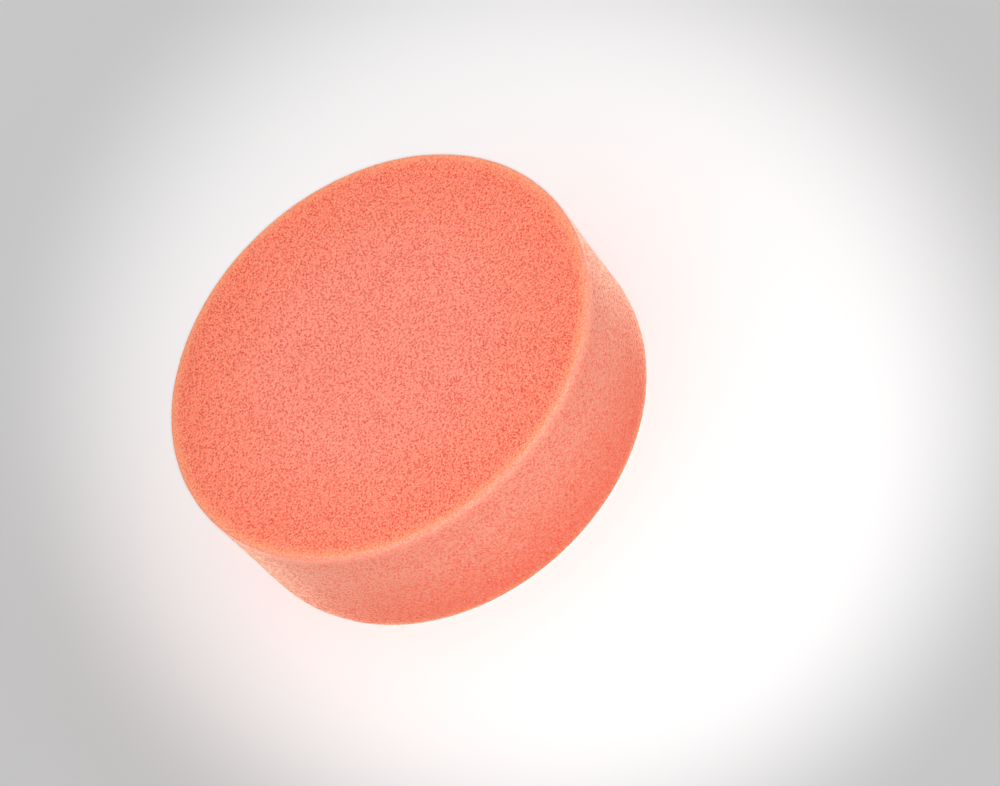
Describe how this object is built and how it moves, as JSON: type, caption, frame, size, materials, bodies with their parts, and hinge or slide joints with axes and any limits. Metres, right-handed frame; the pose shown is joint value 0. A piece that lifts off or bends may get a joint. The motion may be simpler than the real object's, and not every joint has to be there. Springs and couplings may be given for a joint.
{
  "type": "foam polishing pad",
  "caption": "Round foam polishing pad: an open-cell foam disc bonded to a loop fabric backing that grips a hook-faced backing plate.",
  "frame": {"origin": "centre of the loop fabric's outer face, which the pad rests on", "axes": "+Z along the pad's axis, from the loop fabric towards the foam's working face; X and Y are alike, because the pad is round"},
  "size_m": [0.15, 0.15, 0.05],
  "materials": {
    "foam": "orange open-cell polyurethane foam, matte, with pores of about 1 mm",
    "bond_film": "melted adhesive film, brownish orange",
    "loop_fabric": "pinkish white brushed knit loop pile in slanting rows"
  },
  "bodies": {
    "root": {"foam_body": "foam", "bond_film": "bond_film", "loop_backing": "loop_fabric"}
  },
  "joints": []
}
